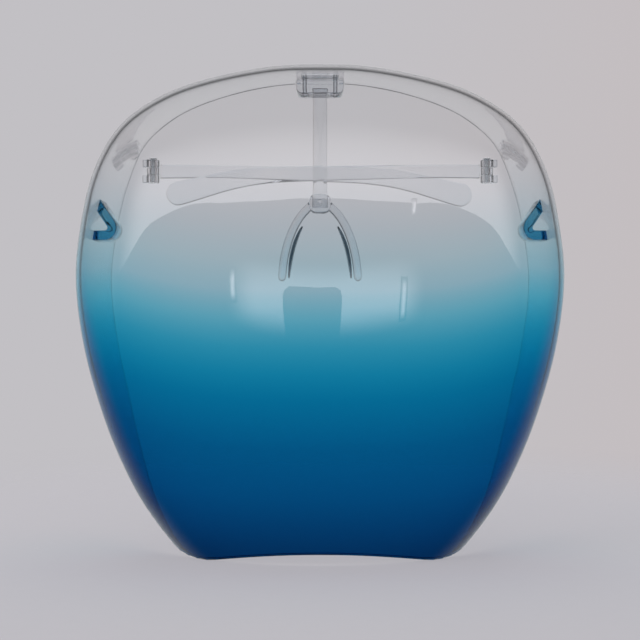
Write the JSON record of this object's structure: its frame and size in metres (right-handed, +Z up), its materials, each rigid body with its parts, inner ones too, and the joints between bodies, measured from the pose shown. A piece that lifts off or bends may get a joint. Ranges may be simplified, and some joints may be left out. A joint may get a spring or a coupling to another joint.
{
  "type": "face shield glasses",
  "caption": "Full-face visor glasses: a deep tinted lens shell with a clip-on nose bracket and clear folding temples, shown folded.",
  "frame": {"origin": "under the middle of the overall box, at the height of the lowest point of the lens's chin edge", "axes": "+Z up when worn; -Y the way the wearer faces, out through the lens; +X towards the wearer's left, so X = 0 is the plane of symmetry"},
  "size_m": [0.1992, 0.0918, 0.2024],
  "materials": {
    "tinted_lens": "clear polycarbonate with a blue-green tint that deepens towards the chin, polished both sides",
    "clear_plastic": "moulded water-clear plastic, polished",
    "clear_silicone": "soft translucent silicone, satin",
    "screw_steel": "small turned steel screw, slotted head"
  },
  "bodies": {
    "visor": {"visor_lens": "tinted_lens", "left_end_piece": "clear_plastic", "right_end_piece": "clear_plastic", "left_hinge_screw": "screw_steel", "right_hinge_screw": "screw_steel", "bridge_clip": "clear_plastic", "left_clip_peg": "clear_plastic", "right_clip_peg": "clear_plastic", "nose_stem": "clear_plastic", "nose_saddle": "clear_plastic", "saddle_snap_pin": "clear_plastic", "left_nose_pad": "clear_silicone", "right_nose_pad": "clear_silicone"},
    "left_temple": {"left_temple": "clear_plastic"},
    "right_temple": {"right_temple": "clear_plastic"}
  },
  "joints": [
    {"name": "left_temple_hinge", "type": "hinge", "parent": "visor", "child": "left_temple", "pos_m": [0.0764, 0.04108, 0.16296], "axis": [0, 0, -1], "range_deg": [0, 96]},
    {"name": "right_temple_hinge", "type": "hinge", "parent": "visor", "child": "right_temple", "pos_m": [-0.0764, 0.04108, 0.16296], "axis": [0, 0, 1], "range_deg": [0, 94]}
  ]
}
